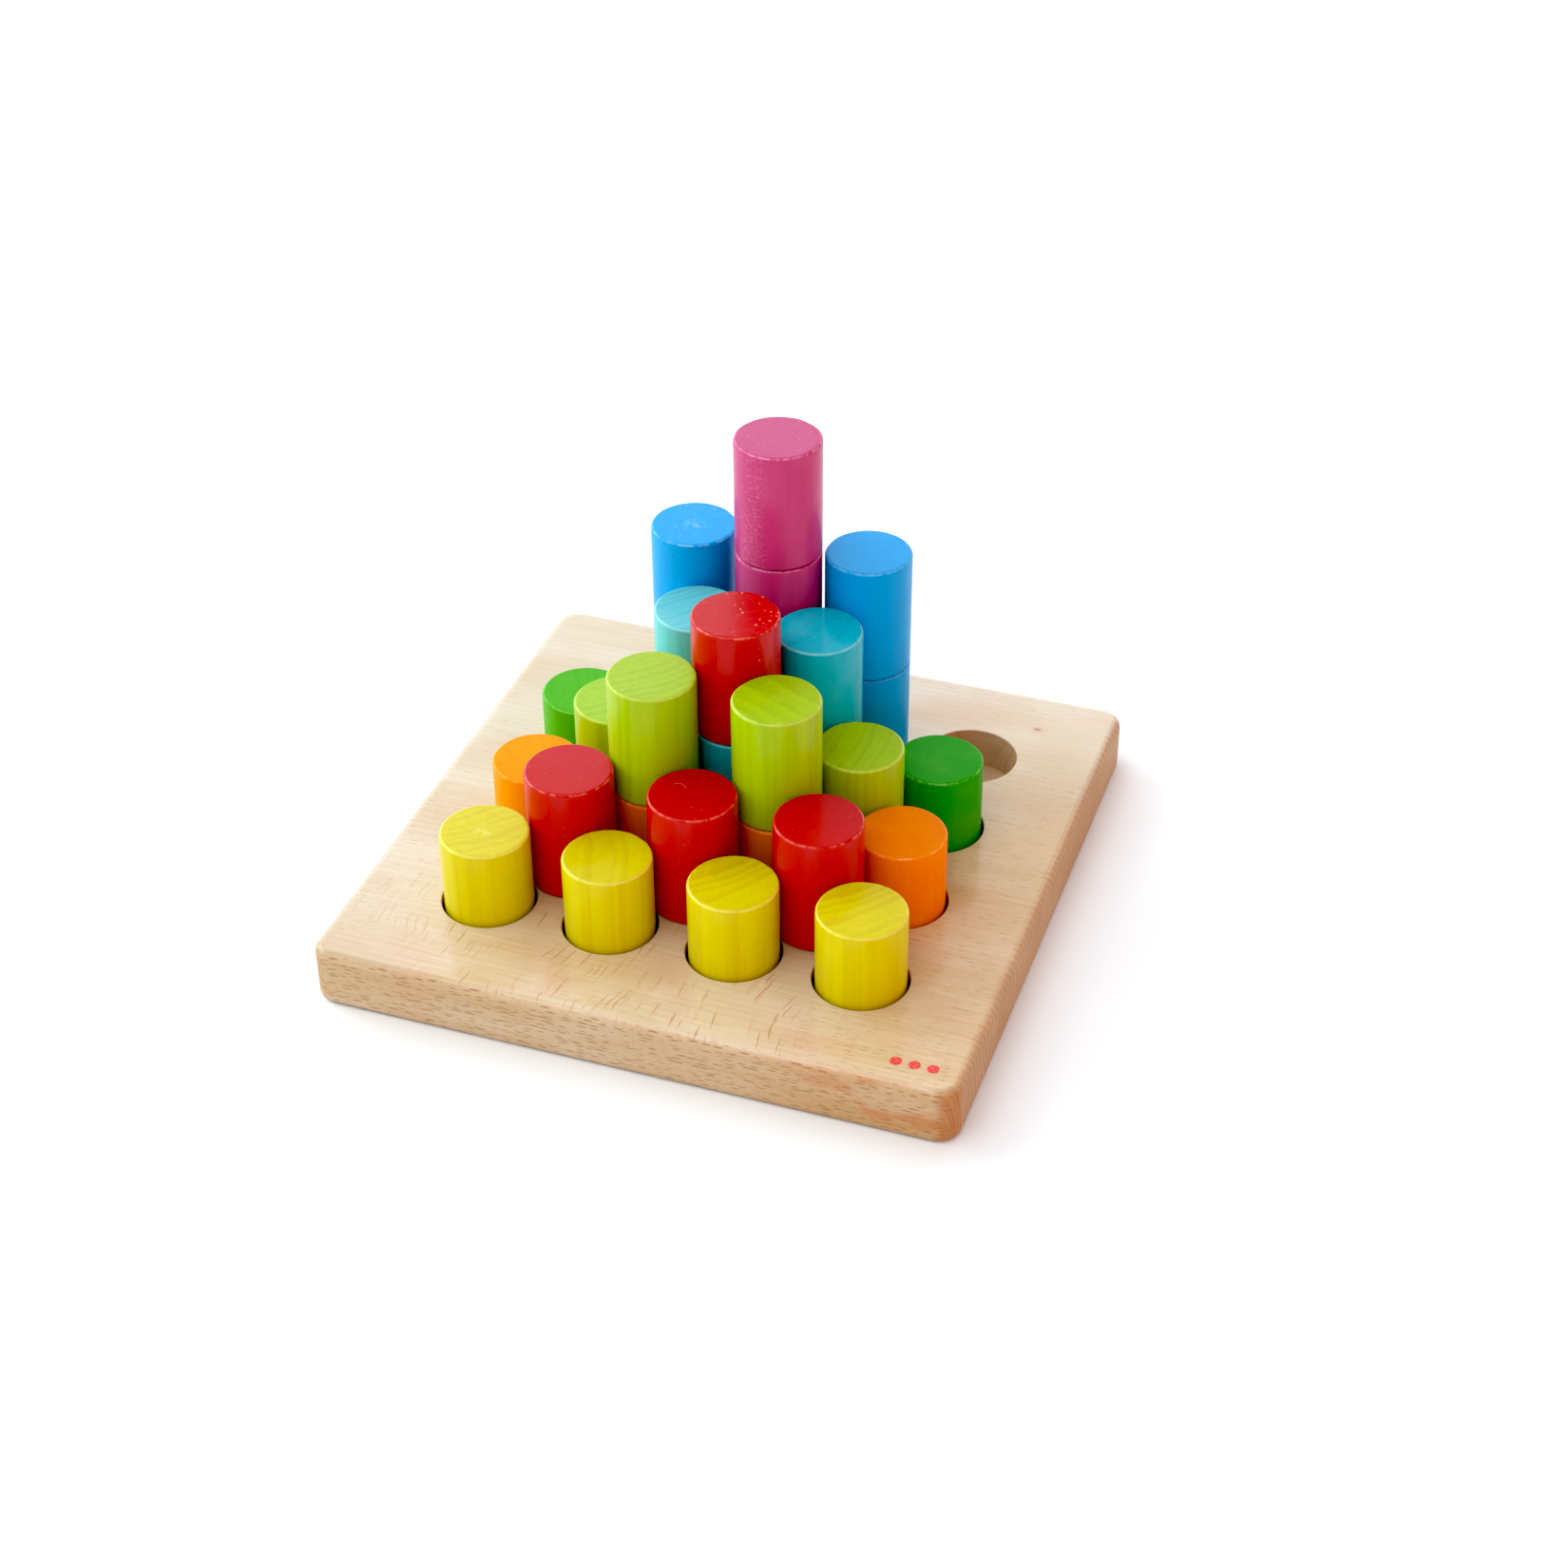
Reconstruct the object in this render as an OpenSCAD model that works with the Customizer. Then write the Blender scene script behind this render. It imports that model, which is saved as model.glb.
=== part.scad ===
// Stacking peg board: a square wooden board drilled with a grid of blind round
// sockets, and a set of thick round pegs that plug into the sockets, stand on
// the board between them, or stand on each other.
// Units are mm, +Z is up. The origin is the centre of the board's underside, and
// the front row of sockets is toward -Y.

/* [Peg] */
// diameter of a peg
peg_d = 32; // [32:0.5:34]
// length of a peg
peg_l = 46; // [40:1:60]
// rounding of a peg's two rims
peg_round = 1.2; // [0.5:0.1:3]

/* [Sockets] */
// clear gap between a peg standing on the board and the plugged pegs round it
peg_gap = 0.8; // [0.6:0.1:3]
// how much wider a socket is than the peg
socket_play = 2.2; // [1:0.1:2.4]
// depth of a socket below the top face
socket_depth = 16; // [8:1:18]
// sockets along each side
grid_n = 4; // [4:1:4]

/* [Board] */
// side of the square board
board_w = 236; // [220:1:260]
// thickness of the board
board_t = 22; // [22:1:40]
// radius of the four corners seen from above
corner_r = 8.5; // [6:0.5:20]
// rounding of the top edges
edge_top = 3.5; // [1:0.5:5]
// rounding of the bottom edges
edge_bottom = 2.5; // [1:0.5:5]

/* [Free-standing pairs] */
// direction of the left back pair from the stack it leans against, from +X
pair_left_dir = 112; // [105:1:130]
// direction of the right back pair from the stack it leans against, from +X
pair_right_dir = 75; // [60:1:75]

/* [Hidden] */
$fa = 3;
$fs = 0.2;
eps = 0.01;
socket_r = (peg_d + socket_play) / 2;
// socket spacing, wide enough for a peg to stand between four plugged ones
pitch = ceil((peg_d + peg_gap) * sqrt(2) * 10) / 10;
half_w = board_w / 2;
run = half_w - corner_r;            // half length of a straight edge
z_socket = board_t - socket_depth;  // seat of a peg that is in a socket
z_top = board_t;                    // seat of a peg that stands on the board
// the floors of the empty back row rise by this from each socket to the next on
// its right, as a drill's stop creeps, so that no two of them share one plane
floor_creep = 0.02;

// ---------------------------------------------------------------- board
// Half of the board's outline in section: from x = 0 out to x = w, with both
// outer corners rounded.
module half_section(w) {
  square([w - max(edge_top, edge_bottom), board_t]);
  translate([0, edge_bottom]) square([w, board_t - edge_bottom - edge_top]);
  square([w - edge_bottom, edge_bottom + eps]);
  translate([w - edge_bottom, edge_bottom]) circle(r = edge_bottom);
  translate([0, board_t - edge_top - eps]) square([w - edge_top, edge_top + eps]);
  translate([w - edge_top, board_t - edge_top]) circle(r = edge_top);
}

// One straight edge with its quarter of the slab, on the +X side.
module edge_bar() {
  rotate([90, 0, 0])
    linear_extrude(2 * run, center = true) half_section(half_w);
}

module corner_piece() {
  translate([run, run, 0]) rotate_extrude(angle = 90) half_section(corner_r);
}

module blank() {
  union() {
    // left and right edges run the full depth between the corners
    edge_bar();
    rotate([0, 0, 180]) edge_bar();
    // front and back strips outside that slab
    for (a = [90, 270]) rotate([0, 0, a]) intersection() {
      edge_bar();
      translate([run, -run, -1]) cube([corner_r + 1, 2 * run, board_t + 2]);
    }
    for (a = [0, 90, 180, 270]) rotate([0, 0, a]) corner_piece();
  }
}

module board() color([0.86, 0.76, 0.60]) difference() {
  blank();
  for (i = [0:grid_n - 1], j = [0:grid_n - 1])
    translate([gx(i), gx(j), z_socket + (j == grid_n - 1 ? i * floor_creep : 0)])
      cylinder(r = socket_r, h = socket_depth + 1);
}

// ---------------------------------------------------------------- pegs
// place of grid line i, counted from 0 at the left or the front
function gx(i) = (i - (grid_n - 1) / 2) * pitch;

// a round peg standing on z = 0 with both rims rounded
module peg() {
  rotate_extrude() {
    square([peg_d / 2 - peg_round, peg_l]);
    translate([0, peg_round]) square([peg_d / 2, peg_l - 2 * peg_round]);
    for (z = [peg_round, peg_l - peg_round])
      translate([peg_d / 2 - peg_round, z]) circle(r = peg_round);
  }
}

// a peg in socket (i, j), standing on `under` other pegs
module plugged(i, j, under = 0)
  translate([gx(i), gx(j), z_socket + under * peg_l]) peg();

// a peg standing on the board's top at (x, y), on `under` other pegs
module standing(x, y, under = 0)
  translate([x, y, z_top + under * peg_l]) peg();

// a peg standing on the board next to socket (i, j), in direction dir from it
module beside(i, j, dir, under = 0)
  standing(gx(i) + (peg_d + peg_gap) * cos(dir), gx(j) + (peg_d + peg_gap) * sin(dir), under);

yellow = [0.86, 0.80, 0.10];
red = [0.80, 0.06, 0.05];
orange = [0.95, 0.55, 0.04];
lime = [0.65, 0.80, 0.16];
teal = [0.16, 0.66, 0.72];
green = [0.22, 0.60, 0.12];
pink = [0.88, 0.36, 0.60];
blue = [0.08, 0.60, 0.88];

module yellow_1() color(yellow) plugged(0, 0);
module yellow_2() color(yellow) plugged(1, 0);
module yellow_3() color(yellow) plugged(2, 0);
module yellow_4() color(yellow) plugged(3, 0);
module red_1() color(red) standing(gx(0.5), gx(0.5));
module red_2() color(red) standing(gx(1.5), gx(0.5));
module red_3() color(red) standing(gx(2.5), gx(0.5));
module red_4() color(red) standing(gx(1.5), gx(1.5), 1);
module orange_1() color(orange) plugged(0, 1);
module orange_2() color(orange) plugged(1, 1);
module orange_3() color(orange) plugged(2, 1);
module orange_4() color(orange) plugged(3, 1);
module lime_1() color(lime) plugged(1, 1, 1);
module lime_2() color(lime) plugged(2, 1, 1);
module lime_3() color(lime) standing(gx(0.5), gx(1.5));
module lime_4() color(lime) standing(gx(2.5), gx(1.5));
module teal_1() color(teal) standing(gx(1.5), gx(1.5));
module teal_2() color(teal) plugged(1, 2, 1);
module teal_3() color(teal) plugged(2, 2, 1);
module green_1() color(green) plugged(0, 2);
module green_2() color(green) plugged(1, 2);
module green_3() color(green) plugged(2, 2);
module green_4() color(green) plugged(3, 2);
module pink_1() color(pink) standing(gx(1.5), gx(2.5));
module pink_2() color(pink) standing(gx(1.5), gx(2.5), 1);
module pink_3() color(pink) standing(gx(1.5), gx(2.5), 2);
module blue_1() color(blue) beside(1, 2, pair_left_dir);
module blue_2() color(blue) beside(1, 2, pair_left_dir, 1);
module blue_3() color(blue) beside(2, 2, pair_right_dir);
module blue_4() color(blue) beside(2, 2, pair_right_dir, 1);

board();
yellow_1();
yellow_2();
yellow_3();
yellow_4();
red_1();
red_2();
red_3();
red_4();
orange_1();
orange_2();
orange_3();
orange_4();
lime_1();
lime_2();
lime_3();
lime_4();
teal_1();
teal_2();
teal_3();
green_1();
green_2();
green_3();
green_4();
pink_1();
pink_2();
pink_3();
blue_1();
blue_2();
blue_3();
blue_4();
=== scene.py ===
# Looks for the stacking peg board: a beech board with sockets, and thirty lacquered wooden pegs.
import math
import random

import bpy
from mathutils import Matrix, Vector, geometry


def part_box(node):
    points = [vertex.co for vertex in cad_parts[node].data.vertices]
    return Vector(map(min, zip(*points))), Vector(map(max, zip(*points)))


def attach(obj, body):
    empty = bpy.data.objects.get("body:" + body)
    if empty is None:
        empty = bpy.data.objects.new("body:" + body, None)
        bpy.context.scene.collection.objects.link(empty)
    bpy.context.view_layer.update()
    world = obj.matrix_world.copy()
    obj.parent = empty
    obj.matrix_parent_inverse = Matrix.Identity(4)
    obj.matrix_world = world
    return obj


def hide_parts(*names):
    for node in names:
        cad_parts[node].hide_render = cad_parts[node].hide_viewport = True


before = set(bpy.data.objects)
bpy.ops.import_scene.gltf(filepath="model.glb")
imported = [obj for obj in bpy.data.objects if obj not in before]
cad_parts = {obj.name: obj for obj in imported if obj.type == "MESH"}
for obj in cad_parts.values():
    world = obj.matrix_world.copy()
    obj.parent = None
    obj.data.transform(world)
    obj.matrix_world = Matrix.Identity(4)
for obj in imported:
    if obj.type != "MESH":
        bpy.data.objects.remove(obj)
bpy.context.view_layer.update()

MM = 0.001                 # the frame is in metres, and the sizes below are in millimetres
TURN, QUARTER = 2 * math.pi, math.pi / 2


def lin(r, g, b):
    """A colour given as 0-255 screen values, in linear light."""
    def one(c):
        c /= 255.0
        return c / 12.92 if c <= 0.04045 else ((c + 0.055) / 1.055) ** 2.4
    return (one(r), one(g), one(b), 1.0)


# ------------------------------------------------------------------ node helpers
class Tree:
    """Builds nodes with short calls. A value is a number, a colour or another node's output."""

    def __init__(self, name, world_tree=None):
        if world_tree:
            self.t = world_tree
        else:
            self.mat = bpy.data.materials.new(name)
            self.mat.use_nodes = True
            self.t = self.mat.node_tree
        self.t.nodes.clear()
        self.out = self.node("ShaderNodeOutputWorld" if world_tree else "ShaderNodeOutputMaterial")

    def node(self, kind, **settings):
        n = self.t.nodes.new(kind)
        for k, v in settings.items():
            setattr(n, k, v)
        return n

    def put(self, socket, value):
        if isinstance(value, bpy.types.NodeSocket):
            self.t.links.new(value, socket)
        else:
            socket.default_value = value

    def number(self, name):
        """A number that the mesh carries."""
        return self.node("ShaderNodeAttribute", attribute_name=name).outputs["Fac"]

    def place(self, name):
        """A place that the mesh carries, as three numbers."""
        return self.split(self.node("ShaderNodeAttribute", attribute_name=name).outputs["Vector"])

    def math(self, op, a, b=None, c=None):
        n = self.node("ShaderNodeMath", operation=op)
        for s, v in zip(n.inputs, (a, b, c)):
            if v is not None:
                self.put(s, v)
        return n.outputs[0]

    def add(self, first, *rest):
        for value in rest:
            first = self.math("ADD", first, value)
        return first

    def mul(self, first, *rest):
        for value in rest:
            first = self.math("MULTIPLY", first, value)
        return first

    def sub(self, a, b):
        return self.math("SUBTRACT", a, b)

    def max(self, a, b):
        return self.math("MAXIMUM", a, b)

    def dist(self, a, b):
        return self.math("SQRT", self.add(self.mul(a, a), self.mul(b, b)))

    def xyz(self, x, y, z):
        n = self.node("ShaderNodeCombineXYZ")
        for s, v in zip(n.inputs, (x, y, z)):
            self.put(s, v)
        return n.outputs[0]

    def scaled(self, point, *factors):
        return self.xyz(*(self.mul(v, f) for v, f in zip(point, factors)))

    def split(self, vec):
        n = self.node("ShaderNodeSeparateXYZ")
        self.put(n.inputs[0], vec)
        return n.outputs[0], n.outputs[1], n.outputs[2]

    def noise(self, vec, detail=2.0, rough=0.5, distort=0.0, scale=1.0):
        n = self.node("ShaderNodeTexNoise")
        self.put(n.inputs["Vector"], vec)
        n.inputs["Scale"].default_value = scale
        n.inputs["Detail"].default_value = detail
        n.inputs["Roughness"].default_value = rough
        n.inputs["Distortion"].default_value = distort
        return n.outputs["Fac"]

    def cells(self, vec, scale):
        """Distance to the nearest of scattered points, and three random numbers of that point."""
        n = self.node("ShaderNodeTexVoronoi")
        self.put(n.inputs["Vector"], vec)
        n.inputs["Scale"].default_value = scale
        return n.outputs["Distance"], self.split(n.outputs["Color"])

    def dabs(self, a, b, cell, half, few):
        """Small soft ellipses over two coordinates, one to each cell of a jittered grid. `few` is
        the share of the cells left empty. Returns how much of a dab is here."""
        n = self.node("ShaderNodeTexVoronoi", voronoi_dimensions="2D")
        n.inputs["Scale"].default_value = 1.0
        va, vb = self.math("DIVIDE", a, cell[0]), self.math("DIVIDE", b, cell[1])
        self.put(n.inputs["Vector"], self.xyz(va, vb, 0.0))
        pa, pb, _ = self.split(n.outputs["Position"])
        pick, stretch, _ = self.split(n.outputs["Color"])
        d = self.dist(self.mul(self.sub(va, pa), cell[0] / half[0]),
                      self.mul(self.sub(vb, pb), cell[1] / half[1]))
        d = self.math("DIVIDE", d, self.add(self.mul(stretch, 0.85), 0.40))
        return self.mul(self.step(d, 1.0, 0.55), self.step(pick, few, few + 0.05))

    def step(self, value, lo, hi, a=0.0, b=1.0):
        """Smoothly from a at lo to b at hi."""
        n = self.node("ShaderNodeMapRange", interpolation_type="SMOOTHSTEP")
        self.put(n.inputs["Value"], value)
        for k, v in zip(("From Min", "From Max", "To Min", "To Max"), (lo, hi, a, b)):
            n.inputs[k].default_value = v
        return n.outputs["Result"]

    def mix(self, fac, a, b, blend="MIX"):
        n = self.node("ShaderNodeMix", data_type="RGBA", blend_type=blend)
        self.put(n.inputs[0], fac)
        self.put(n.inputs[6], a)
        self.put(n.inputs[7], b)
        return n.outputs[2]

    def tint(self, fac, a, b):
        return self.mix(fac, a, b, "MULTIPLY")

    def bands(self, value, stops):
        """One level for each band of value; stops are (start of the band, level)."""
        n = self.node("ShaderNodeValToRGB")
        n.color_ramp.interpolation = "CONSTANT"
        marks = n.color_ramp.elements
        while len(marks) > 1:
            marks.remove(marks[-1])
        for i, (start, level) in enumerate(stops):
            mark = marks[0] if i == 0 else marks.new(start)
            mark.position = start
            mark.color = (level, level, level, 1.0)
        self.put(n.inputs[0], value)
        return self.split(n.outputs[0])[0]

    def surface(self, color, rough, relief=None, depth=0.0, **others):
        """The finished material. relief is a height that stands `depth` proud, as a strength."""
        n = self.node("ShaderNodeBsdfPrincipled")
        self.put(n.inputs["Base Color"], color)
        self.put(n.inputs["Roughness"], rough)
        if relief is not None:
            bump = self.node("ShaderNodeBump")
            bump.inputs["Strength"].default_value = depth
            bump.inputs["Distance"].default_value = others.pop("Bump_Distance", 0.0004)
            self.put(bump.inputs["Height"], relief)
            self.put(n.inputs["Normal"], bump.outputs[0])
        for k, v in others.items():
            self.put(n.inputs[k.replace("_", " ")], v)
        self.t.links.new(n.outputs[0], self.out.inputs[0])
        return self.mat


# ------------------------------------------------------------------ lacquered peg material
END_SHADE_TINT = lin(233, 236, 238)                 # painted shade that darkens the flat ends a little against the light from above
STAR_R = 5.5                                  # reach of the rubs round the centre of an end, mm
SCRATCH_X, SCRATCH_Y, SCRATCH_R = -6.0, 2.0, 2.5   # centre and radius of the curved scratch, mm
CHIPS_FROM, CHIPS_TO = 24.0, 43.0             # heights between which the chips grow strong, mm


def peg_material(name, body, deep, light, wear_and_highlight, grain, dense, glint, side_coat, end_coat):
    """Stained and lacquered dowel. `grain` is how strongly the wood shows through the colour, and
    `dense` says that the lacquer hides the wood and chips, where a stain thins out."""
    t = Tree(name)
    wood = x, y, z = t.place("wood")          # mm, rings are centred on x = y = 0
    own_x, own_y, own_z = t.place("local")    # mm, from the middle of the peg's lower end
    seed = t.number("seed")                   # takes each peg to another part of every pattern
    mark = t.add(own_x, seed), t.add(own_y, t.mul(seed, -0.37)), own_z
    cap = t.number("cap")                     # 1 on the two flat ends
    rim = t.number("rim")                     # 1 along the two rounded rims
    scuff = t.number("scuff")                 # how worn this peg is
    star = t.number("star")                   # how rubbed the centre of an end is
    arc = t.number("arc")                     # 1 where an end has one curved scratch
    flecked = t.number("flecked")             # 1 where the front of the side is flecked
    paler = t.number("paler")                 # how much less stain this peg took up
    close = t.number("close")                 # ring lines to a millimetre

    # growth rings, drawn through the solid, so that lines on an end meet lines down the side
    wobble = t.noise(t.scaled(wood, 0.045, 0.045, 0.010), 1.0)
    radius = t.dist(x, y)
    pace = t.noise(t.xyz(t.mul(radius, 0.14), 3.0, 0.0), 1.0)
    ringed = t.add(t.mul(radius, close), t.mul(wobble, 1.6), t.mul(pace, 1.6))
    phase = t.math("FRACT", ringed)
    dark_year = t.noise(t.xyz(t.mul(t.math("FLOOR", ringed), 3.7), 0.0, 0.0), 0.0)
    late = t.mul(t.step(phase, 0.25, 0.85), t.step(phase, 1.0, 0.86),
                 t.step(dark_year, 0.36, 0.62, 0.30, 1.35))
    # fine fibres along the dowel, broader streaks, and clouds
    fibre = t.noise(t.scaled(wood, 1.5, 1.5, 0.035), 3.0, 0.6)
    streak = t.noise(t.scaled(wood, 0.42, 0.42, 0.010), 2.0, 0.55)
    cloud = t.noise(t.scaled(wood, 0.07, 0.07, 0.05))

    on_side = t.add(t.mul(cap, -1.0), 1.0)
    c = t.mix(t.mul(t.step(streak, 0.40, 0.72), 0.10 + 0.18 * grain), body, deep)
    c = t.mix(paler, c, light)
    c = t.mix(t.mul(late, grain, t.add(t.mul(cap, 0.14), 0.26)), c, deep)
    fibres = t.mul(t.add(t.mul(cap, -0.75), 1.0), 0.16 * grain)
    c = t.mix(t.mul(t.step(fibre, 0.56, 0.76), fibres), c, deep)
    c = t.mix(t.mul(t.step(fibre, 0.46, 0.28), fibres), c, light)
    c = t.mix(t.mul(t.step(cloud, 0.45, 0.75), 0.18), c, light)
    # painted shade on the flat ends
    c = t.tint(cap, c, END_SHADE_TINT)

    # worn rims with a painted highlight: a broken pale line along the rounded rims, partly where
    # the colour has rubbed off and partly a painted highlight
    around = t.noise(t.scaled(mark, 0.35, 0.35, 0.35), 4.0, 0.65)
    rim_from, broken = (0.50, (0.38, 0.60)) if dense else (0.35, (0.16, 0.56))
    rim_wear_and_highlight = t.mul(t.step(rim, rim_from, 1.0), t.step(around, *broken))
    c = t.mix(t.mul(rim_wear_and_highlight, t.add(t.mul(scuff, 0.35), 0.35)), c, wear_and_highlight)

    # small specks in clumps, most on the ends, and chips on one half of a worn peg
    d, (size, _, _) = t.cells(t.xyz(*mark), 0.55)
    clump = t.step(t.noise(t.scaled(mark, 0.07, 0.07, 0.07)), 0.50, 0.62)
    speck = t.mul(t.step(t.sub(d, t.mul(size, 0.17)), 0.03, -0.02), t.step(size, 0.72, 0.80),
                  clump, t.add(t.mul(cap, 0.65), 0.35))
    c = t.mix(t.mul(speck, scuff), c, wear_and_highlight)
    d, (_, size, _) = t.cells(t.xyz(*mark), 0.50)
    half = t.step(t.add(own_x, t.mul(own_y, 0.8)), -2.0, 5.0)
    chip = t.mul(t.step(t.sub(d, t.mul(size, 0.27)), 0.04, -0.02), t.step(size, 0.45, 0.60),
                 t.step(scuff, 0.85, 0.98), half)
    c = t.mix(t.mul(chip, t.step(own_z, CHIPS_FROM, CHIPS_TO, 0.10, 0.80)), c, wear_and_highlight)

    # fine rubs round the centre of an end
    out = t.dist(own_x, own_y)
    bearing = t.math("ARCTAN2", own_y, own_x)
    rays = t.noise(t.xyz(t.mul(bearing, 1.7), t.mul(out, 0.22), 0.0), 3.0)
    star_rub = t.mul(t.step(out, STAR_R, 0.5), t.step(rays, 0.46, 0.66), star, cap)
    c = t.mix(t.mul(star_rub, 0.55), c, wear_and_highlight)
    # pale flecks down the front of the side
    facing = t.math("MULTIPLY_ADD", own_x, -0.15, t.mul(own_y, -0.99))
    fleck = t.noise(t.xyz(t.mul(own_x, 0.7), own_z, 3.0), 3.0, 0.6, 0.8)
    fleck = t.mul(t.step(fleck, 0.50, 0.64), t.step(facing, 12.5, 15.2), t.step(own_x, 3.0, -2.0))
    c = t.mix(t.mul(fleck, flecked, on_side, 0.16), c, wear_and_highlight)
    # one curved scratch
    ax, ay = t.add(own_x, -SCRATCH_X), t.add(own_y, -SCRATCH_Y)
    off_line = t.math("ABSOLUTE", t.add(t.dist(ax, ay), -SCRATCH_R))
    bow = t.mul(t.step(off_line, 0.28, 0.06), t.step(t.add(ay, t.mul(ax, 0.2)), 0.2, 1.6))
    c = t.mix(t.mul(bow, arc, cap, 0.50), c, wear_and_highlight)
    # hairline scratches on the ends
    swirl = t.noise(t.scaled(mark, 0.10, 0.10, 1.0), 2.0, 0.5, 0.4)
    hair = t.step(t.math("ABSOLUTE", t.add(swirl, -0.5)), 0.010, 0.002)
    c = t.mix(t.mul(hair, cap, scuff, 0.12), c, wear_and_highlight)

    relief = t.add(t.mul(fibre, 0.5), t.mul(late, 0.35), t.mul(speck, -1.0))
    rough = t.add(t.mul(around, 0.12), 0.34 if dense else 0.42, t.mul(rim_wear_and_highlight, 0.15))
    coat = t.add(t.mul(cap, end_coat - side_coat), side_coat)
    return t.surface(c, rough, relief, 0.10 if dense else 0.16, Coat_Roughness=0.10, Coat_IOR=1.5,
                     Specular_IOR_Level=glint, Coat_Weight=coat)


# ------------------------------------------------------------------ beech material
PALE, WARM = lin(217, 204, 176), lin(206, 184, 144)
TAN, BROWN = lin(192, 153, 108), lin(146, 100, 60)
ROSY, LIGHT_FIBRE, LIGHT_FIGURE = lin(212, 172, 138), lin(230, 216, 190), lin(226, 206, 172)
NARROW_RAY, WIDE_RAY = lin(180, 130, 82), lin(200, 154, 106)
KNOT_RING, KNOT_HEART, WARM_PATCH = lin(214, 150, 112), lin(150, 84, 60), lin(206, 136, 76)
# what the wood is multiplied by: painted shade on the left and back margins of the top, a warmer
# tone right of the pegs, the darker end grain, painted shade on the front and back sides, and
# painted shade inside the sockets
LEFT_BACK_SHADE_TINT, RIGHT_TINT = lin(238, 240, 244), lin(246, 236, 218)
END_GRAIN_TINT, SIDE_SHADE_TINT, BORE_SHADE_TINT = lin(220, 178, 108), lin(230, 188, 132), lin(226, 172, 122)
STAVES = ((0.0, 0.55), (0.215, 0.30), (0.46, 0.72), (0.63, 0.42), (0.83, 0.62))   # start, tone
KNOT_X, KNOT_Y = 89.0, 94.5         # mm
BOARD_W = 236.0                     # mm


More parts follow.
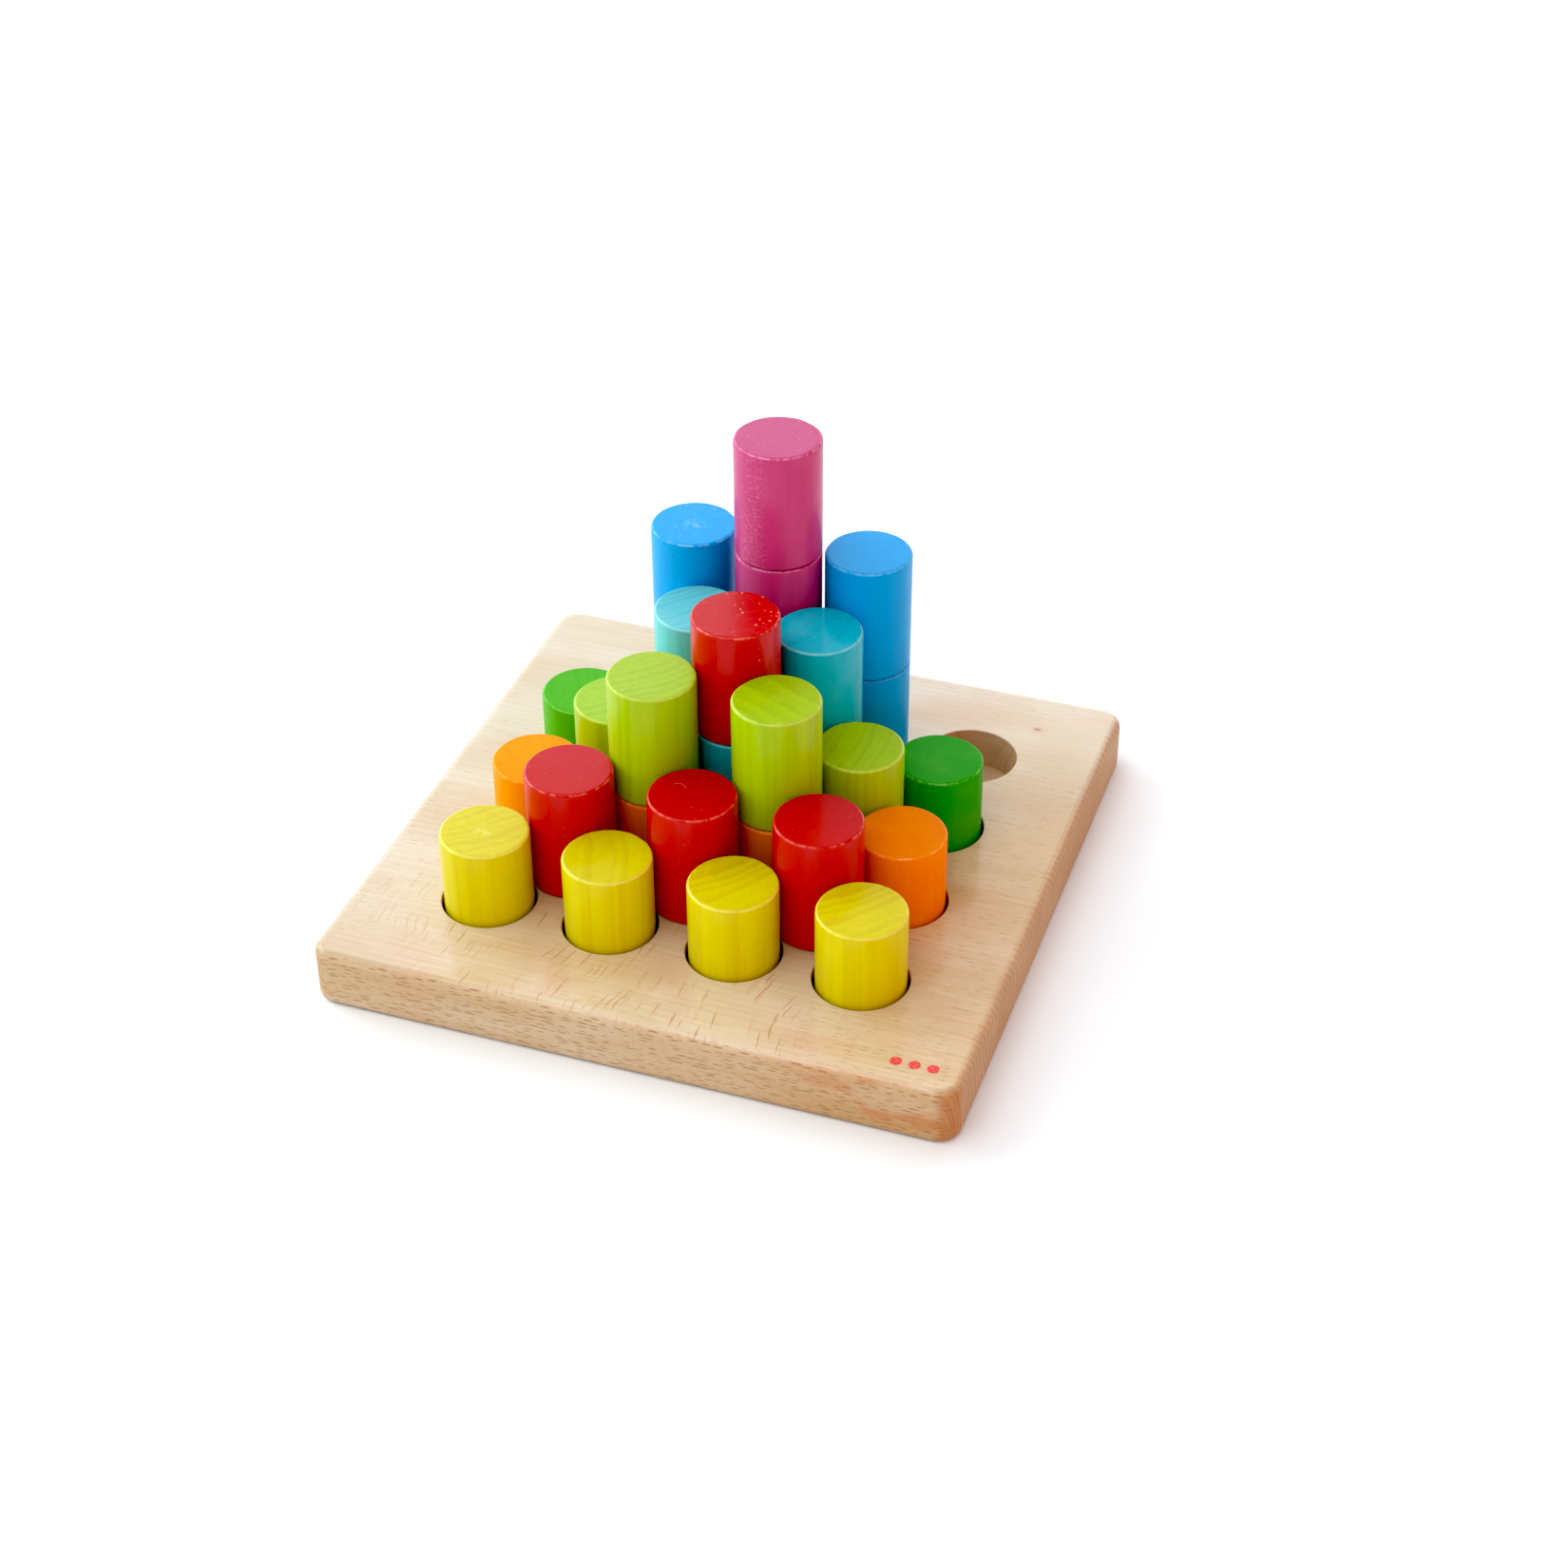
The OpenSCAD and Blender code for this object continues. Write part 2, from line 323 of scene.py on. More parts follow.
def beech_material():
    """Solid beech, grain along X: rings show on the ends, short dark dashes on the long sides,
    and pale figure with ray flecks on the top."""
    t = Tree("beech")
    wood = x, y, z = t.place("wood")
    end = t.number("end")      # 1 on the two end-grain sides
    side = t.number("side")    # 1 on the front and back sides
    top = t.number("top")      # 1 on the flat faces
    bore = t.number("bore")    # 1 inside a socket

    # slow warp, so that nothing runs dead straight
    warp = t.mul(t.add(t.noise(t.scaled(wood, 0.006, 0.022, 0.03)), -0.5), 16.0)

    # edge-glued staves along X, each with its own tone
    seam = t.mul(t.add(t.noise(t.xyz(t.mul(x, 0.004), 0.0, 0.0)), -0.5), 1.5)
    stave = t.math("DIVIDE", t.add(y, seam, BOARD_W / 2), BOARD_W)
    tone = t.mul(t.add(t.bands(stave, STAVES), -0.5), 0.25)

    cloud = t.noise(t.scaled(wood, 0.012, 0.03, 0.05), 3.0, 0.55)
    c = t.mix(t.step(t.add(cloud, tone), 0.35, 0.68), WARM, PALE)
    rosy = t.noise(t.xyz(t.add(t.mul(x, 0.02), 7.3), t.mul(y, 0.035), 0.0))
    c = t.mix(t.mul(t.step(rosy, 0.52, 0.75), 0.35), c, ROSY)

    # fine fibres along X, quieter toward the back
    fibre = t.noise(t.xyz(t.mul(x, 0.035), t.mul(t.add(y, warp), 0.9), t.mul(z, 0.9)), 4.0, 0.6)
    plain = t.mul(t.step(y, -30.0, 60.0, 1.0, 0.5), 0.35)
    c = t.mix(t.mul(t.step(fibre, 0.50, 0.72), plain, 0.8), c, TAN)
    c = t.mix(t.mul(t.step(fibre, 0.48, 0.28), plain), c, LIGHT_FIBRE)

    # growth rings, close to upright in the board
    drift = t.noise(t.scaled(wood, 0.003, 0.02, 0.02))
    ringed = t.add(t.mul(y, 0.30), t.mul(z, 0.045), t.mul(warp, 0.10), t.mul(drift, 3.0))
    phase = t.math("FRACT", ringed)
    late = t.mul(t.step(phase, 0.30, 0.85), t.step(phase, 1.0, 0.92))
    c = t.mix(t.mul(late, t.add(t.mul(end, 0.50), 0.10)), c, TAN)
    phase = t.math("FRACT", t.mul(ringed, 2.63))
    fine = t.mul(t.step(phase, 0.2, 0.7), t.step(phase, 1.0, 0.85))
    c = t.mix(t.mul(fine, end, 0.32), c, BROWN)

    # short dark dashes along the grain on the sides, and faintly on the top, more to the right
    dash = t.dabs(x, t.add(z, t.mul(warp, 0.10)), (4.6, 1.5), (2.2, 0.30), 0.10)
    dash = t.mul(dash, t.step(side, 0.3, 0.8))
    thin_dash = t.dabs(t.add(x, 31.0), z, (3.3, 1.2), (1.5, 0.20), 0.30)
    c = t.mix(t.mul(thin_dash, side, 0.35), c, TAN)
    c = t.mix(t.mul(dash, 0.58), c, BROWN)
    here = t.step(t.noise(t.xyz(t.mul(x, 0.012), t.mul(y, 0.012), 4.0)), 0.44, 0.60)
    here = t.max(here, t.mul(t.step(x, 40.0, 70.0), t.step(y, 92.0, 60.0), 1.25))
    top_dash = t.dabs(x, y, (5.6, 1.9), (2.0, 0.24), 0.30)
    c = t.mix(t.mul(top_dash, top, 0.34, here), c, BROWN)

    # ray flecks across the grain on the front part of the top
    sway = t.noise(t.xyz(t.mul(x, 0.010), t.mul(y, 0.016), 5.0), 1.0)
    crook = t.noise(t.xyz(t.mul(x, 0.16), t.mul(y, 0.14), 2.0))
    ray_x = t.add(x, t.mul(y, -0.08), t.mul(sway, 24.0), t.mul(crook, 3.0))
    bunch = t.step(t.noise(t.xyz(t.mul(x, 0.045), t.mul(y, 0.05), 9.0)), 0.38, 0.56)
    front = t.mul(t.step(y, -48.0, -74.0), bunch, top,
                  t.step(x, 76.0, 40.0, 0.22, 1.0), t.step(x, -98.0, -72.0, 0.35, 1.0))
    wide = t.dabs(t.add(ray_x, 57.0), y, (6.5, 20.0), (1.1, 8.5), 0.35)
    narrow = t.dabs(ray_x, y, (3.3, 17.0), (0.44, 7.6), 0.30)
    figure = t.noise(t.xyz(t.mul(ray_x, 0.55), t.mul(y, 0.05), 2.0))
    c = t.mix(t.mul(wide, front, 0.30), c, WIDE_RAY)
    c = t.mix(t.mul(narrow, front, 0.68), c, NARROW_RAY)
    c = t.mix(t.mul(t.step(figure, 0.50, 0.68), front, 0.20), c, LIGHT_FIGURE)

    # one pin knot near the back right corner
    kx, ky = t.add(x, -KNOT_X), t.add(y, -KNOT_Y)
    away = t.math("SQRT", t.add(t.mul(kx, kx, 0.45), t.mul(ky, ky)))
    away = t.add(away, t.mul(t.noise(t.xyz(t.mul(x, 0.8), t.mul(y, 0.8), 0.0)), 1.2))
    c = t.mix(t.mul(t.step(away, 4.6, 1.4), top, 0.35), c, KNOT_RING)
    c = t.mix(t.mul(t.step(away, 2.0, 1.0), top, 0.8), c, KNOT_HEART)

    # painted shade: the left and back margins of the top are darkened where the light falls
    # strongest, and the part right of the pegs is warmer
    left_back_shade = t.max(t.step(x, -50.0, -105.0), t.step(y, 20.0, 65.0))
    c = t.tint(t.mul(left_back_shade, top, 0.9), c, LEFT_BACK_SHADE_TINT)
    warmer = t.mul(t.step(x, 45.0, 75.0), t.step(y, 82.0, 48.0),
                   t.step(y, -112.0, -10.0, 0.30, 0.85))
    c = t.tint(t.mul(warmer, top), c, RIGHT_TINT)
    # warm patches at the right end of the front side and on the corner there
    patch = t.noise(t.xyz(t.mul(x, 0.055), t.mul(z, 0.10), t.add(t.mul(y, 0.03), 11.0)))
    patch = t.mul(t.step(patch, 0.50, 0.66), t.step(x, 45.0, 90.0), side, 0.55)
    corner = t.mul(t.step(t.mul(side, end), 0.12, 0.42), t.step(x, 0.0, 60.0), 0.45)
    c = t.mix(t.max(patch, corner), c, WARM_PATCH)
    # the ends are darker, as end grain drinks the varnish; the front and back sides and the sockets
    # are darkened with painted shade
    c = t.tint(t.mul(end, 0.54), c, END_GRAIN_TINT)
    # painted shade on the front and back sides, deepening toward the right end
    c = t.tint(t.mul(side, t.step(x, -120.0, 100.0, 0.14, 0.55)), c, SIDE_SHADE_TINT)
    # painted shade inside the sockets
    c = t.tint(t.mul(bore, 0.40), c, BORE_SHADE_TINT)

    relief = t.add(t.mul(fibre, 0.6), t.mul(dash, -0.5), t.mul(late, end, 0.6))
    return t.surface(c, t.add(t.mul(cloud, 0.12), 0.50), relief, 0.12, Coat_Roughness=0.12,
                     Specular_IOR_Level=0.20, Coat_Weight=t.add(t.mul(top, 0.85), 0.06))


def ink_material():
    """Slightly uneven printed ink."""
    t = Tree("print_ink")
    n = t.noise(t.xyz(*t.place("wood")), 4.0, 0.6, scale=0.9)
    c = t.mix(t.step(n, 0.40, 0.66), lin(205, 48, 40), lin(226, 92, 76))
    return t.surface(c, t.add(t.mul(n, 0.15), 0.42), n, 0.1, Bump_Distance=0.0002, Coat_Weight=0.1)


# ------------------------------------------------------------------ mesh helpers
def make_object(name, verts, faces, normals, attrs, material):
    """verts in metres; attrs is {name: list of numbers or of triples}, one per vertex."""
    me = bpy.data.meshes.new(name)
    me.from_pydata(verts, [], faces)
    me.update()
    for key, values in attrs.items():
        if isinstance(values[0], (tuple, list, Vector)):
            a = me.attributes.new(key, "FLOAT_VECTOR", "POINT")
            a.data.foreach_set("vector", [float(n) for v in values for n in v])
        else:
            a = me.attributes.new(key, "FLOAT", "POINT")
            a.data.foreach_set("value", [float(v) for v in values])
    me.polygons.foreach_set("use_smooth", [True] * len(me.polygons))
    me.normals_split_custom_set_from_vertices(normals)
    me.materials.append(material)
    ob = bpy.data.objects.new(name, me)
    bpy.context.scene.collection.objects.link(ob)
    return ob


def ring_faces(a, b, n):
    """Quads between two rings of n vertices that start at a and b, a below or outside b."""
    return [(a + k, a + (k + 1) % n, b + (k + 1) % n, b + k) for k in range(n)]


# ------------------------------------------------------------------ pegs
ROUND = 1.2            # rounding of a peg's rims, mm
ROUND_STEPS = 5
AROUND = 112           # sides of a peg
RIM_WEAR = 0.10        # mean wear of a rim, mm
HEART = (60, 130)      # how far off the tree's centre a dowel was cut, mm
CLOSE = (0.16, 0.32)   # ring lines to a millimetre

# which way the ring lines cross a peg's end, in degrees from +X, and how many there are to a
# centimetre; elsewhere both are random
RINGS_RUN = {"yellow_1": (45, 2.6), "yellow_2": (111, 1.5), "yellow_3": (47, 2.2),
             "yellow_4": (43, 2.2), "lime_1": (47, 2.8), "lime_2": (-23, 1.4), "lime_3": (47, 2.0),
             "lime_4": (84, 3.2), "teal_2": (50, 2.8), "teal_3": (63, 2.0), "red_3": (50, 2.6),
             "green_4": (60, 2.0)}

# body colour, deep grain colour, pale colour, colour of wear and of the painted rim highlight,
# grain strength, dense lacquer
COLOURS = {
    "yellow": ((221, 212, 0), (203, 172, 0), (234, 226, 30), (246, 238, 130), 0.88, False),
    "lime": ((168, 206, 8), (134, 162, 4), (188, 216, 50), (220, 234, 130), 0.60, False),
    "teal": ((14, 186, 208), (0, 152, 182), (114, 214, 218), (176, 228, 230), 0.50, False),
    "red": ((201, 6, 6), (176, 2, 3), (204, 24, 18), (234, 130, 110), 0.18, True),
    "orange": ((247, 132, 0), (232, 108, 0), (255, 184, 10), (255, 206, 130), 0.25, True),
    "green": ((36, 166, 2), (18, 142, 2), (112, 196, 30), (170, 220, 140), 0.30, True),
    "pink": ((198, 64, 120), (180, 50, 105), (218, 100, 152), (240, 170, 200), 0.35, True),
    "blue": ((0, 166, 238), (0, 142, 218), (30, 186, 246), (150, 212, 246), 0.25, True),
}
# how much gloss coat there is on the sides and on the ends, and the specular level
COATS = {"orange": (0.08, 0.034), "green": (0.08, 0.034), "blue": (0.15, 0.035),
         "red": (0.42, 0.10)}
USUAL_COAT = (0.30, 0.126)
GLINTS = {"orange": 0.05, "green": 0.08}
DENSE_GLINT, STAIN_GLINT = 0.16, 0.25

# what sets single pegs apart
SCUFFED = {"red_4": 1.0, "red_2": 0.5, "red_1": 0.6, "blue_2": 0.7, "yellow_1": 0.6,
           "pink_3": 0.5, "red_3": 0.4}
USUAL_SCUFF = 0.25
STARRED = {"yellow_1": 0.9, "blue_2": 0.9}
SCRATCHED = {"red_2": 1.0}
FLECKED = {"pink_3": 1.0}
PALER = {"teal_2": 0.85, "green_1": 0.45, "orange_1": 0.40}


def smooth_ring(rng, n, waves):
    """A smooth closed line of n values, about -1 to 1."""
    parts = [(k, rng.uniform(-1, 1) / math.sqrt(k), rng.uniform(0, TURN)) for k in waves]
    total = sum(abs(p[1]) for p in parts)
    return [sum(a * math.sin(k * TURN * i / n + f) for k, a, f in parts) / total for i in range(n)]


def peg_section(r, length):
    """From the bottom centre, up the side, to the top centre: radius, height, normal, cap, rim."""
    inner = r - ROUND
    rows = [(0.0, 0.0, (0, -1), 1, 0), (r * 0.5, 0.0, (0, -1), 1, 0),
            (inner - 0.5, 0.0, (0, -1), 1, 0)]
    for k in range(ROUND_STEPS + 1):
        a = QUARTER * k / ROUND_STEPS
        rows.append((inner + ROUND * math.sin(a), ROUND - ROUND * math.cos(a),
                     (math.sin(a), -math.cos(a)), 1 - k / ROUND_STEPS, math.sin(2 * a)))
    for f in (0.12, 0.3, 0.5, 0.7, 0.88):
        rows.append((r, ROUND + (length - 2 * ROUND) * f, (1, 0), 0, 0))
    for k in range(ROUND_STEPS + 1):
        a = QUARTER * k / ROUND_STEPS
        rows.append((inner + ROUND * math.cos(a), length - ROUND + ROUND * math.sin(a),
                     (math.cos(a), math.sin(a)), k / ROUND_STEPS, math.sin(2 * a)))
    rows += [(inner - 0.5, length, (0, 1), 1, 0), (r * 0.5, length, (0, 1), 1, 0),
             (0.0, length, (0, 1), 1, 0)]
    return rows


def peg(node, material, rng, scuff):
    lo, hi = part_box(node)
    cx, cy = (lo.x + hi.x) / 2 / MM, (lo.y + hi.y) / 2 / MM
    z0, z1 = lo.z / MM, hi.z / MM
    r, length = (hi.x - lo.x) / 2 / MM, z1 - z0
    turn = rng.uniform(0, TURN)
    heart = rng.uniform(*HEART)
    deep = rng.uniform(0, 400)                  # how far up the tree the dowel was cut, mm
    close = rng.uniform(*CLOSE)
    if node in RINGS_RUN:
        turn, close = math.radians(90 - RINGS_RUN[node][0]), RINGS_RUN[node][1] / 10
    wear_low, wear_high = (smooth_ring(rng, AROUND, (2, 3, 5, 8, 13, 21)) for _ in range(2))
    # nicks in the rims: place, width, depth, and whether the rim is the lower one
    dents = [(rng.randrange(AROUND), rng.uniform(1.5, 4.0), rng.uniform(0.10, 0.30),
              rng.random() < 0.35) for _ in range(2 + int(6 * scuff))]

    verts, normals, wood, local, cap, rim = [], [], [], [], [], []
    ct, st = math.cos(turn), math.sin(turn)

    def add(px, py, pz, n, is_cap, is_rim):
        verts.append(((cx + px) * MM, (cy + py) * MM, (z0 + pz) * MM))
        normals.append(n)
        wood.append((px * ct - py * st + heart, px * st + py * ct, pz + deep))
        local.append((px, py, pz))
        cap.append(is_cap)
        rim.append(is_rim)

    def worn_away(k, low, is_rim):
        """How much the rim has lost at side k."""
        cut = is_rim * RIM_WEAR * (1 + (wear_low if low else wear_high)[k])
        for place, width, depth, at_low in dents:
            if at_low == low:
                away = min((k - place) % AROUND, (place - k) % AROUND)
                cut += is_rim * depth * math.exp(-(away / width) ** 2)
        return cut

    starts, faces = [], []
    section = peg_section(r, length)
    for pr, pz, (nr, nz), is_cap, is_rim in section:
        starts.append(len(verts))
        if pr == 0.0:
            add(0, 0, pz, (0, 0, nz), is_cap, is_rim)
            continue
        for k in range(AROUND):
            a = TURN * k / AROUND
            cut = worn_away(k, pz < length / 2, is_rim) if is_rim > 0.01 else 0.0
            rr, zz = pr - cut * nr, pz - cut * nz
            n = Vector((nr * math.cos(a), nr * math.sin(a), nz)).normalized()
            add(rr * math.cos(a), rr * math.sin(a), zz, n, is_cap, is_rim)
    for i in range(len(section) - 1):
        a, b = starts[i], starts[i + 1]
        if section[i][0] == 0.0:
            faces += [(a, b + (k + 1) % AROUND, b + k) for k in range(AROUND)]
        elif section[i + 1][0] == 0.0:
            faces += [(a + k, a + (k + 1) % AROUND, b) for k in range(AROUND)]
        else:
            faces += ring_faces(a, b, AROUND)
    attrs = {"wood": wood, "local": local, "cap": cap, "rim": rim}
    own = {"scuff": scuff, "seed": deep, "close": close, "star": STARRED.get(node, 0.0),
           "arc": SCRATCHED.get(node, 0.0), "flecked": FLECKED.get(node, 0.0),
           "paler": PALER.get(node, 0.0)}
    attrs.update({key: [value] * len(verts) for key, value in own.items()})
    ob = make_object("peg_" + node, verts, faces, normals, attrs, material)
    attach(ob, node)
    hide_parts(node)


materials = {}
for hue, (body, deep, light, wear_and_highlight, grain, dense) in COLOURS.items():
    glint = GLINTS.get(hue, DENSE_GLINT if dense else STAIN_GLINT)
    materials[hue] = peg_material(hue + "_lacquer", lin(*body), lin(*deep), lin(*light), lin(*wear_and_highlight),
                                  grain, dense, glint, *COATS.get(hue, USUAL_COAT))

for number, node in enumerate(sorted(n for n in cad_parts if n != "board")):
    hue = node.split("_")[0]
    rng = random.Random(1000 + 17 * number)
    peg(node, materials[hue], rng, SCUFFED.get(node, USUAL_SCUFF))

# ------------------------------------------------------------------ board
TOP_ROUND, LOW_ROUND, CORNER = 3.5, 2.5, 8.5    # mm
EDGE_STEPS, CORNER_STEPS = 6, 12
PITCH, HOLE_R, HOLE_DEPTH, GRID = 46.4, 17.1, 16.0, 4
HOLE_SIDES = 96
MOUTH, MOUTH_STEPS = 0.45, 4                    # eased mouth of a socket, mm
FILLET, FILLET_STEPS = 0.35, 3                  # rounded foot of a socket, mm
POINT_R, POINT_DEPTH = 2.6, 1.2                 # the drill's centre point in a socket's floor, mm


def outline(w, inset):
    """A rounded square, counter-clockwise, pulled in by inset: (x, y, outward x, outward y)."""
    flat = w / 2 - CORNER
    rows = []
    for q, (ox, oy) in enumerate(((flat, flat), (-flat, flat), (-flat, -flat), (flat, -flat))):
        for k in range(CORNER_STEPS + 1):
            a = QUARTER * (q + k / CORNER_STEPS)
            nx, ny = math.cos(a), math.sin(a)
            rows.append((ox + (CORNER - inset) * nx, oy + (CORNER - inset) * ny, nx, ny))
    return rows


def socket_section(thick):
    """From the mouth of a socket down to its centre point: radius, height, radial normal, up
    normal, and how far this is inside the socket."""
    foot = thick - HOLE_DEPTH
    rows = []
    for k in range(MOUTH_STEPS + 1):
        a = QUARTER * k / MOUTH_STEPS
        rows.append((HOLE_R + MOUTH * (1 - math.sin(a)), thick - MOUTH * (1 - math.cos(a)),
                     -math.sin(a), math.cos(a), 0.15 + 0.85 * k / MOUTH_STEPS))
    for f in (0.25, 0.5, 0.75):
        rows.append((HOLE_R, thick - MOUTH - (HOLE_DEPTH - MOUTH - FILLET) * f, -1, 0, 1))
    for k in range(FILLET_STEPS + 1):
        a = QUARTER * k / FILLET_STEPS
        rows.append((HOLE_R - FILLET * (1 - math.cos(a)), foot + FILLET * (1 - math.sin(a)),
                     -math.cos(a), math.sin(a), 1))
    rows += [(HOLE_R * 0.55, foot, 0, 1, 1), (POINT_R, foot, 0, 1, 1),
             (2.2, foot - 0.12, -0.7, 0.7, 1), (0.9, foot - 0.9, -0.7, 0.7, 1)]
    return rows


def board(material):
    lo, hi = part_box("board")
    w, thick = (hi.x - lo.x) / MM, hi.z / MM
    verts, normals, faces = [], [], []
    end, side, top, bore = [], [], [], []

    def add(x, y, z, n, e=0.0, s=0.0, t=0.0, b=0.0):
        verts.append((x * MM, y * MM, z * MM))
        normals.append(Vector(n).normalized())
        end.append(e), side.append(s), top.append(t), bore.append(b)
        return len(verts) - 1

    def edge_ring(inset, z, nr, nz):
        start = len(verts)
        for x, y, nx, ny in outline(w, inset):
            add(x, y, z, (nx * nr, ny * nr, nz), abs(nx) * nr, abs(ny) * nr, abs(nz) ** 2)
        return start

    # the outside, from the rim of the underside up to the rim of the top
    rings = []
    for k in range(EDGE_STEPS + 1):
        s, c = math.sin(QUARTER * k / EDGE_STEPS), math.cos(QUARTER * k / EDGE_STEPS)
        rings.append(edge_ring(LOW_ROUND * (1 - s), LOW_ROUND * (1 - c), s, -c))
    for k in range(EDGE_STEPS + 1):
        s, c = math.sin(QUARTER * k / EDGE_STEPS), math.cos(QUARTER * k / EDGE_STEPS)
        rings.append(edge_ring(TOP_ROUND * (1 - c), thick - TOP_ROUND * (1 - s), c, s))
    count = rings[1] - rings[0]
    for a, b in zip(rings, rings[1:]):
        faces.extend(ring_faces(a, b, count))
    faces.append(tuple(rings[0] + k for k in reversed(range(count))))

    # the sockets
    loops = [[rings[-1] + k for k in range(count)]]
    section = socket_section(thick)
    for place in range(GRID * GRID):
        ox, oy = (place // GRID - 1.5) * PITCH, (place % GRID - 1.5) * PITCH
        starts = []
        for rr, zz, nr, nz, b in section:
            starts.append(len(verts))
            for k in range(HOLE_SIDES):
                ca, sa = math.cos(TURN * k / HOLE_SIDES), math.sin(TURN * k / HOLE_SIDES)
                add(ox + rr * ca, oy + rr * sa, zz, (nr * ca, nr * sa, nz),
                    abs(ca) * abs(nr) * 0.6, 0.0, nz * nz * (1 - b), b)
        tip = add(ox, oy, thick - HOLE_DEPTH - POINT_DEPTH, (0, 0, 1), b=1.0)
        for a, b in zip(starts, starts[1:]):
            faces.extend(ring_faces(a, b, HOLE_SIDES))
        last = starts[-1]
        faces.extend((last + k, last + (k + 1) % HOLE_SIDES, tip) for k in range(HOLE_SIDES))
        loops.append([starts[0] + k for k in range(HOLE_SIDES)])

    # the flat top between the rim and the mouths of the sockets
    flat = [v for loop in loops for v in loop]
    points = [[Vector((verts[v][0] * 1000, verts[v][1] * 1000, 0)) for v in loop] for loop in loops]
    for corners in geometry.tessellate_polygon(points):
        tri = [flat[i] for i in corners]
        p, q, s = (Vector(verts[v]) for v in tri)
        faces.append(tuple(tri) if (q - p).cross(s - p).z > 0 else tuple(reversed(tri)))

    wood = [(x / MM, y / MM, z / MM) for x, y, z in verts]
    attrs = {"wood": wood, "end": end, "side": side, "top": top, "bore": bore}
    ob = make_object("board_solid", verts, faces, normals, attrs, material)
    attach(ob, "board")
    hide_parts("board")
    return thick


# ------------------------------------------------------------------ printed dots
DOT_R, DOT_H, DOT_SIDES = 2.1, 0.05, 40
DOTS_X, DOTS_Y = (93.5, 100.0, 106.5), -106.5


def printed_dots(board_top):
    """A plain printed motif of three round dots where a maker would print a name."""
    verts, faces, normals, wood = [], [], [], []
    for dot_x in DOTS_X:
        base = len(verts)
        for rr, zz in ((DOT_R, -0.02), (DOT_R, DOT_H * 0.6), (DOT_R - 0.05, DOT_H)):
            for s in range(DOT_SIDES):
                a = TURN * s / DOT_SIDES
                px, py, pz = dot_x + rr * math.cos(a), DOTS_Y + rr * math.sin(a), board_top + zz
                verts.append((px * MM, py * MM, pz * MM))
                normals.append((0, 0, 1))
                wood.append((px, py, pz))
        faces += ring_faces(base, base + DOT_SIDES, DOT_SIDES)
        faces += ring_faces(base + DOT_SIDES, base + 2 * DOT_SIDES, DOT_SIDES)
        faces.append(tuple(base + 2 * DOT_SIDES + s for s in range(DOT_SIDES)))
        faces.append(tuple(base + s for s in reversed(range(DOT_SIDES))))
    dots = make_object("printed_dots", verts, faces, normals, {"wood": wood}, ink_material())
    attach(dots, "board")


thick = board(beech_material())
printed_dots(thick)

# ------------------------------------------------------------------ floor
FLOOR_HALF, FLOOR_Z = 6.0, -0.0002               # m
me = bpy.data.meshes.new("floor")
me.from_pydata([(sx * FLOOR_HALF, sy * FLOOR_HALF, FLOOR_Z)
                for sx, sy in ((-1, -1), (1, -1), (1, 1), (-1, 1))], [], [(0, 1, 2, 3)])
floor = bpy.data.objects.new("floor", me)
bpy.context.scene.collection.objects.link(floor)
FLOOR_COLOUR = (0.87, 0.94, 0.95, 1.0)
me.materials.append(Tree("floor_paint").surface(FLOOR_COLOUR, 0.9, Specular_IOR_Level=0.1))

# ------------------------------------------------------------------ world and lights
scene = bpy.context.scene
scene.view_settings.view_transform = "Standard"
scene.view_settings.look = "None"
scene.view_settings.use_curve_mapping = True      # a little contrast, as in a catalogue picture
scene.view_settings.curve_mapping.black_level = (0.022, 0.022, 0.022)
scene.view_settings.curve_mapping.update()

# A room that is rosy on one side and cool on the other. Behind the object a bright wall runs into
# a tall window on the left. Each bound is a soft edge: sines of the height, and bearings in radians
# from straight behind, growing to the left.
ROSY_ROOM, COOL_ROOM = (0.72, 0.22, 0.16, 1.0), (1.00, 1.14, 1.20, 1.0)
BRIGHT = (2.65, 2.85, 3.10, 1.0)
COOL_SIDE = Vector((-0.86, 0.05, 0.45)).normalized()
WALL_TOP, WALL_RIGHT, WALL_LEFT = (0.612, 0.588), (-0.60, -0.30), (1.6, 1.3)
WINDOW_TOP, WINDOW_RIGHT, WINDOW_LEFT = (0.80, 0.72), (0.44, 0.50), (1.5, 1.2)
SKYLINE = (-0.02, 0.02)
WINDOW_SHARE, WORLD_STRENGTH = 0.85, 0.92

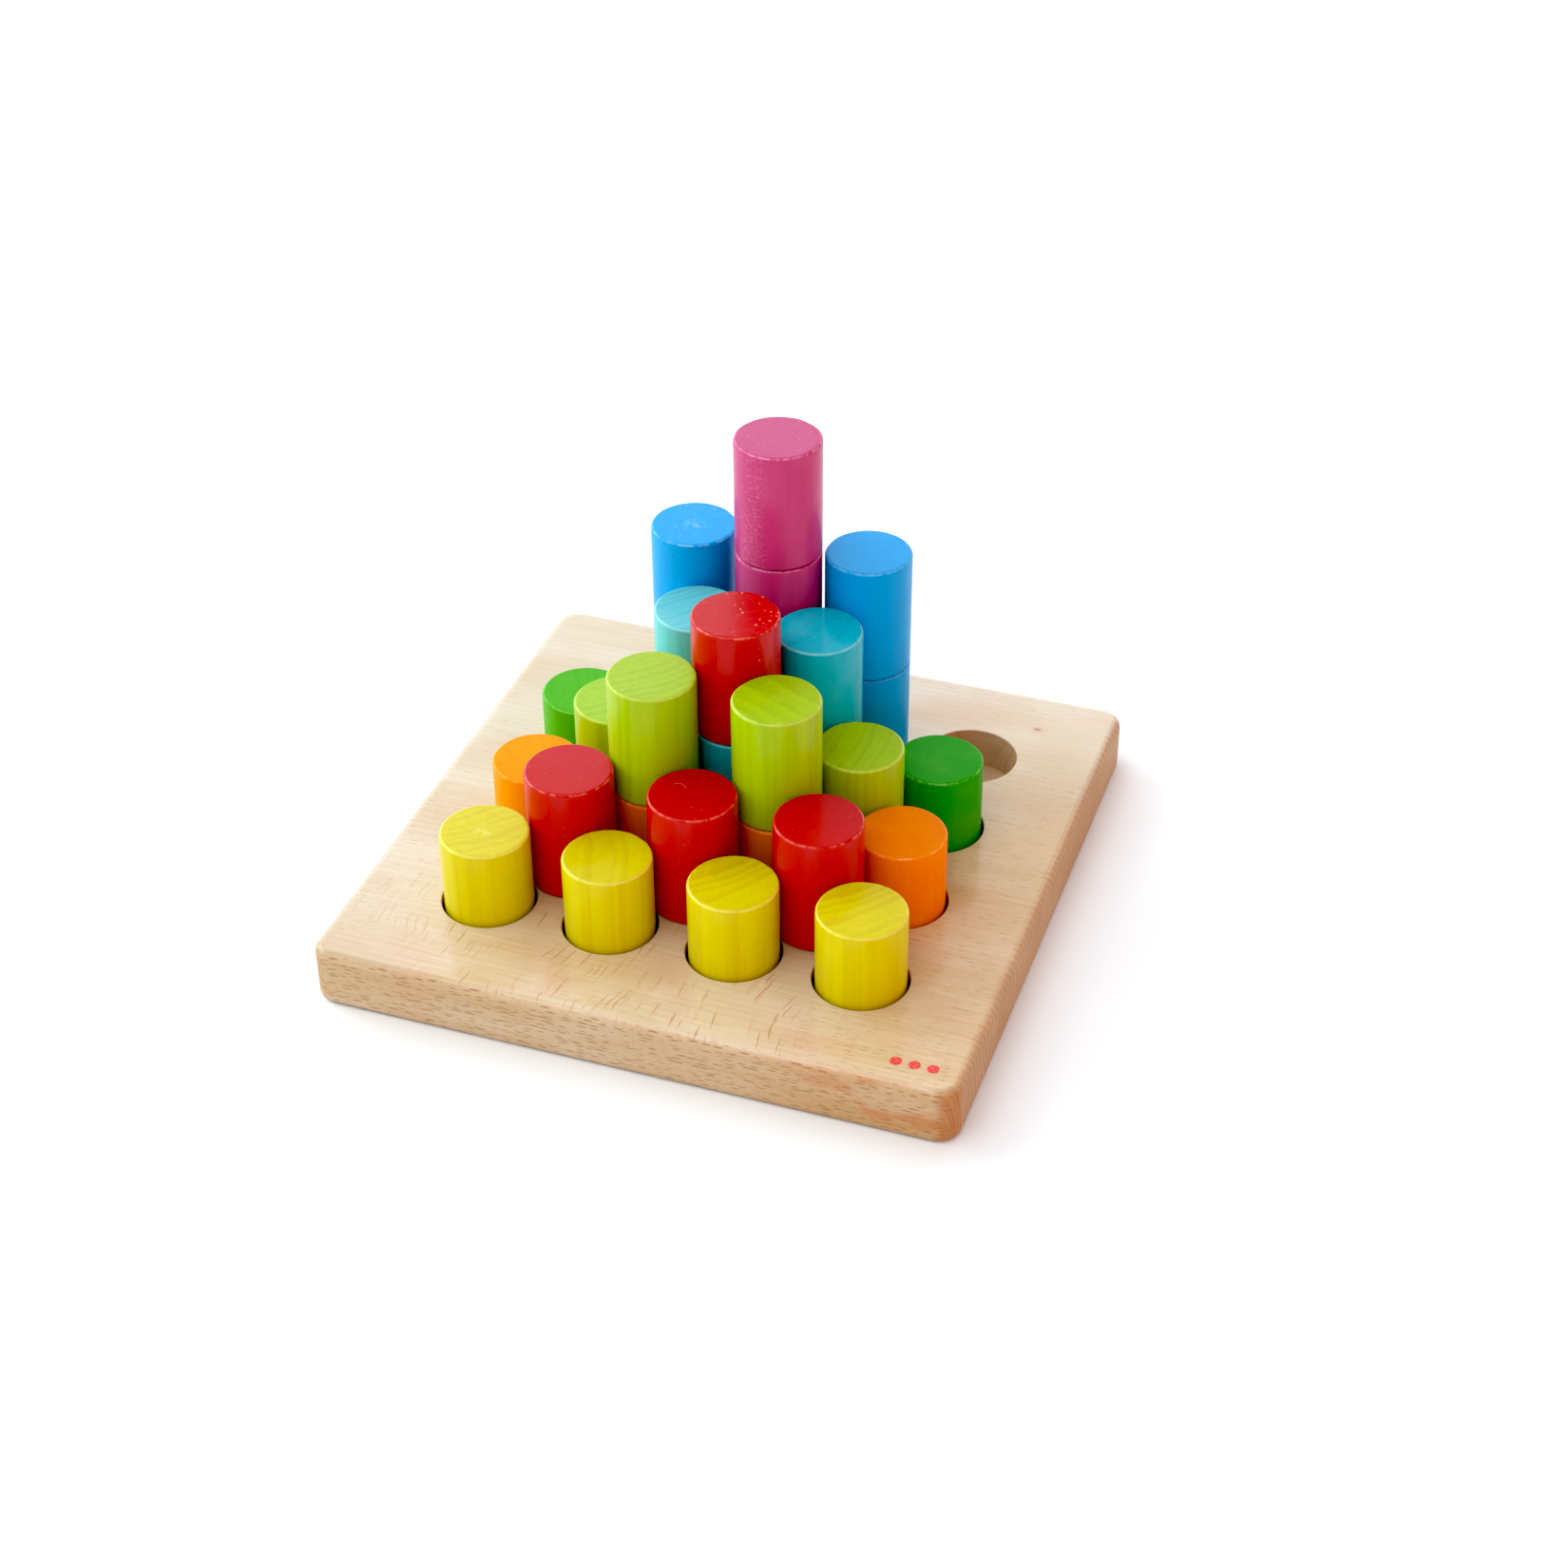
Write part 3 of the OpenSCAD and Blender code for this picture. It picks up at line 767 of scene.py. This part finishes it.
world = bpy.data.worlds.new("studio")
scene.world = world
world.use_nodes = True
wt = Tree(None, world.node_tree)
dx, dy, dz = wt.split(wt.node("ShaderNodeTexCoord").outputs["Generated"])
toward = wt.add(*(wt.mul(d, c) for d, c in zip((dx, dy, dz), COOL_SIDE)))
room = wt.mix(wt.math("MULTIPLY_ADD", toward, 0.5, 0.5), ROSY_ROOM, COOL_ROOM)
bearing = wt.math("ARCTAN2", wt.mul(dx, -1.0), dy)
wall = wt.mul(wt.step(dz, *WALL_TOP), wt.step(bearing, *WALL_RIGHT), wt.step(bearing, *WALL_LEFT))
window = wt.mul(wt.step(dz, *WINDOW_TOP), wt.step(bearing, *WINDOW_RIGHT),
                wt.step(bearing, *WINDOW_LEFT), WINDOW_SHARE)
background = wt.node("ShaderNodeBackground")
wt.put(background.inputs["Color"],
       wt.mix(wt.mul(wt.max(wall, window), wt.step(dz, *SKYLINE)), room, BRIGHT))
background.inputs["Strength"].default_value = WORLD_STRENGTH
wt.put(wt.out.inputs[0], background.outputs[0])

AIM = Vector((0, 0, 0.05))


def area(name, place, size, power, color):
    lamp = bpy.data.lights.new(name, "AREA")
    lamp.shape = "RECTANGLE"
    lamp.size, lamp.size_y = size
    lamp.energy = power
    lamp.color = color
    ob = bpy.data.objects.new(name, lamp)
    ob.location = place
    ob.rotation_euler = (AIM - Vector(place)).to_track_quat("-Z", "Y").to_euler()
    scene.collection.objects.link(ob)


area("window", (-2.88, 0.10, 1.50), (2.2, 2.2), 45.0, (0.92, 0.985, 0.98))
area("fill", (-0.30, -0.85, 2.15), (1.4, 1.0), 12.6, (0.97, 0.94, 0.89))
area("bounce", (2.30, -0.35, 0.60), (1.6, 1.0), 3.6, (1.0, 0.25, 0.10))

# ------------------------------------------------------------------ camera
AZIMUTH, ELEVATION, ROLL = math.radians(19.17), math.radians(36.01), -0.00496
DISTANCE, LENS, SENSOR = 1.0466, 63.714, 36.0
target = Vector((0.00757, 0.02925, 0.022))
back = Vector((math.sin(AZIMUTH) * math.cos(ELEVATION), -math.cos(AZIMUTH) * math.cos(ELEVATION),
               math.sin(ELEVATION)))
level = (-back).cross(Vector((0, 0, 1))).normalized()
plumb = level.cross(-back)
right = level * math.cos(ROLL) + plumb * math.sin(ROLL)
up = plumb * math.cos(ROLL) - level * math.sin(ROLL)
cam = bpy.data.cameras.new("camera")
cam.sensor_width = SENSOR
cam.lens = LENS
cam_ob = bpy.data.objects.new("camera", cam)
scene.collection.objects.link(cam_ob)
cam_ob.matrix_world = Matrix((*zip(right, up, back, target + back * DISTANCE), (0, 0, 0, 1)))
scene.camera = cam_ob
